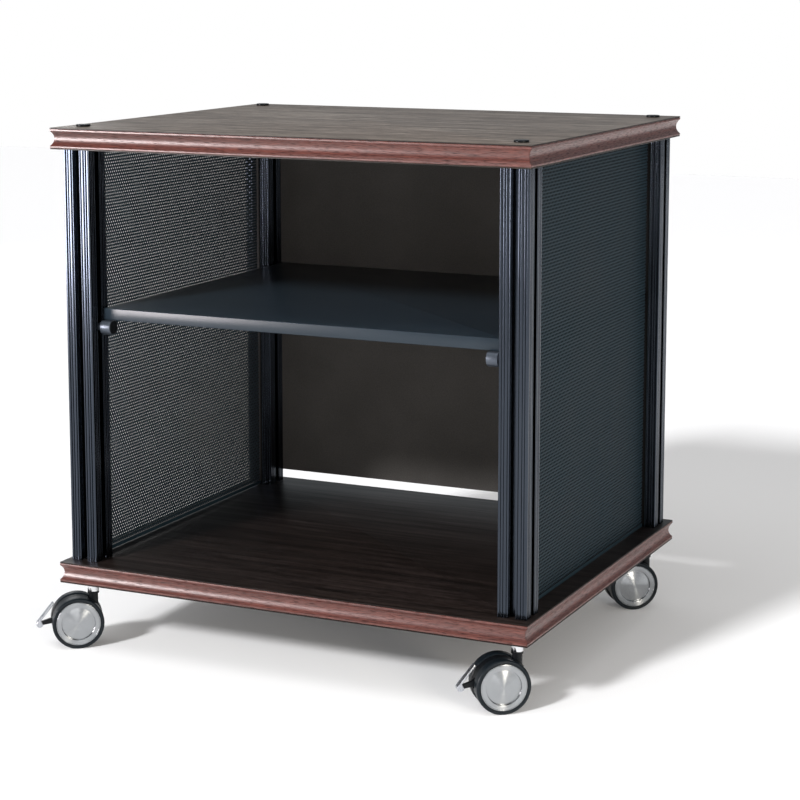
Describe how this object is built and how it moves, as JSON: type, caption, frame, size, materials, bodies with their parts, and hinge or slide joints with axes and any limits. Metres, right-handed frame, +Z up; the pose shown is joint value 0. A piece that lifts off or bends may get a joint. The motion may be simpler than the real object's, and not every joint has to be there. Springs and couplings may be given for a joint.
{
  "type": "audio-video cart",
  "caption": "Open-front rolling equipment cart: two moulded wood boards on slotted metal posts, a height-adjustable shelf, perforated side panels and swivel casters.",
  "frame": {"origin": "centre of the bottom board's underside, the face that the caster stems pass through", "axes": "+Z up, +X to the cart's right as seen from its open front, -Y towards the open front"},
  "size_m": [0.643, 0.5222, 0.6376],
  "materials": {
    "veneer": "satin dark walnut veneer",
    "moulding": "satin lacquered red-brown mahogany",
    "post": "black anodised",
    "bolt": "zinc plated",
    "cap": "black",
    "mesh_sheet": "black powder coat, perforated in staggered rows",
    "backing": "black faced hardboard",
    "shelf_board": "satin black laminate",
    "clamp": "dark grey",
    "stem": "polished",
    "axle": "ground",
    "housing": "black",
    "hub": "satin chromed plastic",
    "tyre": "satin black",
    "pedal": "bright plated bar with a dark link"
  },
  "bodies": {
    "root": {"top_panel": "veneer", "bottom_panel": "veneer", "top_front_moulding": "moulding", "top_right_moulding": "moulding", "top_rear_moulding": "moulding", "top_left_moulding": "moulding", "bottom_front_moulding": "moulding", "bottom_right_moulding": "moulding", "bottom_rear_moulding": "moulding", "bottom_left_moulding": "moulding", "left_mesh_panel": "mesh_sheet", "right_mesh_panel": "mesh_sheet", "back_panel": "backing", "front_left_post": "post", "front_left_tie_bolt": "bolt", "front_left_cap": "cap", "front_left_caster_stem": "stem", "front_right_post": "post", "front_right_tie_bolt": "bolt", "front_right_cap": "cap", "front_right_caster_stem": "stem", "rear_left_post": "post", "rear_left_tie_bolt": "bolt", "rear_left_cap": "cap", "rear_left_caster_stem": "stem", "rear_right_post": "post", "rear_right_tie_bolt": "bolt", "rear_right_cap": "cap", "rear_right_caster_stem": "stem"},
    "shelf_unit": {"shelf": "shelf_board", "front_left_shelf_support": "clamp", "front_right_shelf_support": "clamp", "rear_left_shelf_support": "clamp", "rear_right_shelf_support": "clamp"},
    "front_left_swivel": {"front_left_caster_housing": "housing", "front_left_axle": "axle"},
    "front_left_outer_wheel": {"front_left_outer_hub": "hub", "front_left_outer_tyre": "tyre"},
    "front_left_inner_wheel": {"front_left_inner_hub": "hub", "front_left_inner_tyre": "tyre"},
    "front_left_brake": {"front_left_brake_pedal": "pedal"},
    "front_right_swivel": {"front_right_caster_housing": "housing", "front_right_axle": "axle"},
    "front_right_outer_wheel": {"front_right_outer_hub": "hub", "front_right_outer_tyre": "tyre"},
    "front_right_inner_wheel": {"front_right_inner_hub": "hub", "front_right_inner_tyre": "tyre"},
    "front_right_brake": {"front_right_brake_pedal": "pedal"},
    "rear_left_swivel": {"rear_left_caster_housing": "housing", "rear_left_axle": "axle"},
    "rear_left_outer_wheel": {"rear_left_outer_hub": "hub", "rear_left_outer_tyre": "tyre"},
    "rear_left_inner_wheel": {"rear_left_inner_hub": "hub", "rear_left_inner_tyre": "tyre"},
    "rear_right_swivel": {"rear_right_caster_housing": "housing", "rear_right_axle": "axle"},
    "rear_right_outer_wheel": {"rear_right_outer_hub": "hub", "rear_right_outer_tyre": "tyre"},
    "rear_right_inner_wheel": {"rear_right_inner_hub": "hub", "rear_right_inner_tyre": "tyre"}
  },
  "joints": [
    {"name": "shelf_slide", "type": "slide", "parent": "root", "child": "shelf_unit", "axis": [0, 0, 1], "range_m": [-0.2, 0.12]},
    {"name": "front_left_swivel_turn", "type": "hinge", "parent": "root", "child": "front_left_swivel", "pos_m": [-0.27975, -0.22125, -0.02], "axis": [0, 0, 1], "continuous": true},
    {"name": "front_left_outer_wheel_turn", "type": "hinge", "parent": "front_left_swivel", "child": "front_left_outer_wheel", "pos_m": [-0.29564, -0.2334, -0.0515], "axis": [0.6074, -0.7944, 0], "continuous": true},
    {"name": "front_left_inner_wheel_turn", "type": "hinge", "parent": "front_left_swivel", "child": "front_left_inner_wheel", "pos_m": [-0.29564, -0.2334, -0.0515], "axis": [0.6074, -0.7944, 0], "continuous": true},
    {"name": "front_left_brake_press", "type": "hinge", "parent": "front_left_swivel", "child": "front_left_brake", "pos_m": [-0.31407, -0.24749, -0.0485], "axis": [0.6074, -0.7944, 0], "range_deg": [0, 15]},
    {"name": "front_right_swivel_turn", "type": "hinge", "parent": "root", "child": "front_right_swivel", "pos_m": [0.27975, -0.22125, -0.02], "axis": [0, 0, 1], "continuous": true},
    {"name": "front_right_outer_wheel_turn", "type": "hinge", "parent": "front_right_swivel", "child": "front_right_outer_wheel", "pos_m": [0.26386, -0.2334, -0.0515], "axis": [0.6074, -0.7944, 0], "continuous": true},
    {"name": "front_right_inner_wheel_turn", "type": "hinge", "parent": "front_right_swivel", "child": "front_right_inner_wheel", "pos_m": [0.26386, -0.2334, -0.0515], "axis": [0.6074, -0.7944, 0], "continuous": true},
    {"name": "front_right_brake_press", "type": "hinge", "parent": "front_right_swivel", "child": "front_right_brake", "pos_m": [0.24543, -0.24749, -0.0485], "axis": [0.6074, -0.7944, 0], "range_deg": [0, 15]},
    {"name": "rear_left_swivel_turn", "type": "hinge", "parent": "root", "child": "rear_left_swivel", "pos_m": [-0.27975, 0.22125, -0.02], "axis": [0, 0, 1], "continuous": true},
    {"name": "rear_left_outer_wheel_turn", "type": "hinge", "parent": "rear_left_swivel", "child": "rear_left_outer_wheel", "pos_m": [-0.29564, 0.2091, -0.0515], "axis": [0.6074, -0.7944, 0], "continuous": true},
    {"name": "rear_left_inner_wheel_turn", "type": "hinge", "parent": "rear_left_swivel", "child": "rear_left_inner_wheel", "pos_m": [-0.29564, 0.2091, -0.0515], "axis": [0.6074, -0.7944, 0], "continuous": true},
    {"name": "rear_right_swivel_turn", "type": "hinge", "parent": "root", "child": "rear_right_swivel", "pos_m": [0.27975, 0.22125, -0.02], "axis": [0, 0, 1], "continuous": true},
    {"name": "rear_right_outer_wheel_turn", "type": "hinge", "parent": "rear_right_swivel", "child": "rear_right_outer_wheel", "pos_m": [0.26386, 0.2091, -0.0515], "axis": [0.6074, -0.7944, 0], "continuous": true},
    {"name": "rear_right_inner_wheel_turn", "type": "hinge", "parent": "rear_right_swivel", "child": "rear_right_inner_wheel", "pos_m": [0.26386, 0.2091, -0.0515], "axis": [0.6074, -0.7944, 0], "continuous": true}
  ]
}
